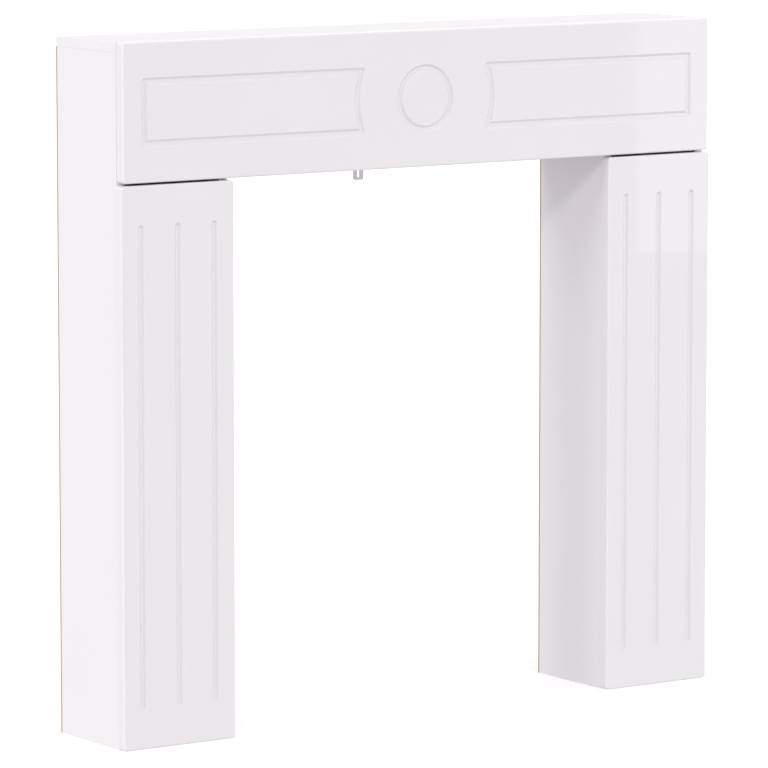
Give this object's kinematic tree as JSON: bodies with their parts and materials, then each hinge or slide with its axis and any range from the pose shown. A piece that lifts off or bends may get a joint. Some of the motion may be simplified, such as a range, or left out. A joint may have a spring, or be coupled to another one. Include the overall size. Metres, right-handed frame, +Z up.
{
  "type": "fireplace mantelpiece",
  "caption": "Free-standing fireplace surround with fluted box legs, a milled lintel with hollow-ended frames and a ring, and a slotted wall angle.",
  "frame": {"origin": "on the floor, in the middle of the footprint", "axes": "+X to the right seen from the room, +Y towards the wall, +Z up; the milled fronts face -Y"},
  "size_m": [1.188, 0.202, 1.15],
  "materials": {
    "gloss_front": "medium-density fibreboard, milled and wrapped in high-gloss white film",
    "coated_board": "white melamine-coated chipboard, smooth satin",
    "hardboard": "thin raw hardboard, matt tan",
    "zinc_plated_steel": "pressed steel, bright zinc plated"
  },
  "bodies": {
    "root": {"top_board": "coated_board", "lintel_front": "gloss_front", "lintel_bottom_board": "coated_board", "lintel_back": "hardboard", "left_outer_side": "coated_board", "left_inner_side": "coated_board", "left_leg_front": "gloss_front", "left_leg_back": "hardboard", "right_outer_side": "coated_board", "right_inner_side": "coated_board", "right_leg_front": "gloss_front", "right_leg_back": "hardboard", "wall_angle": "zinc_plated_steel", "angle_screw_back": "zinc_plated_steel", "angle_screw_front": "zinc_plated_steel"}
  },
  "joints": []
}
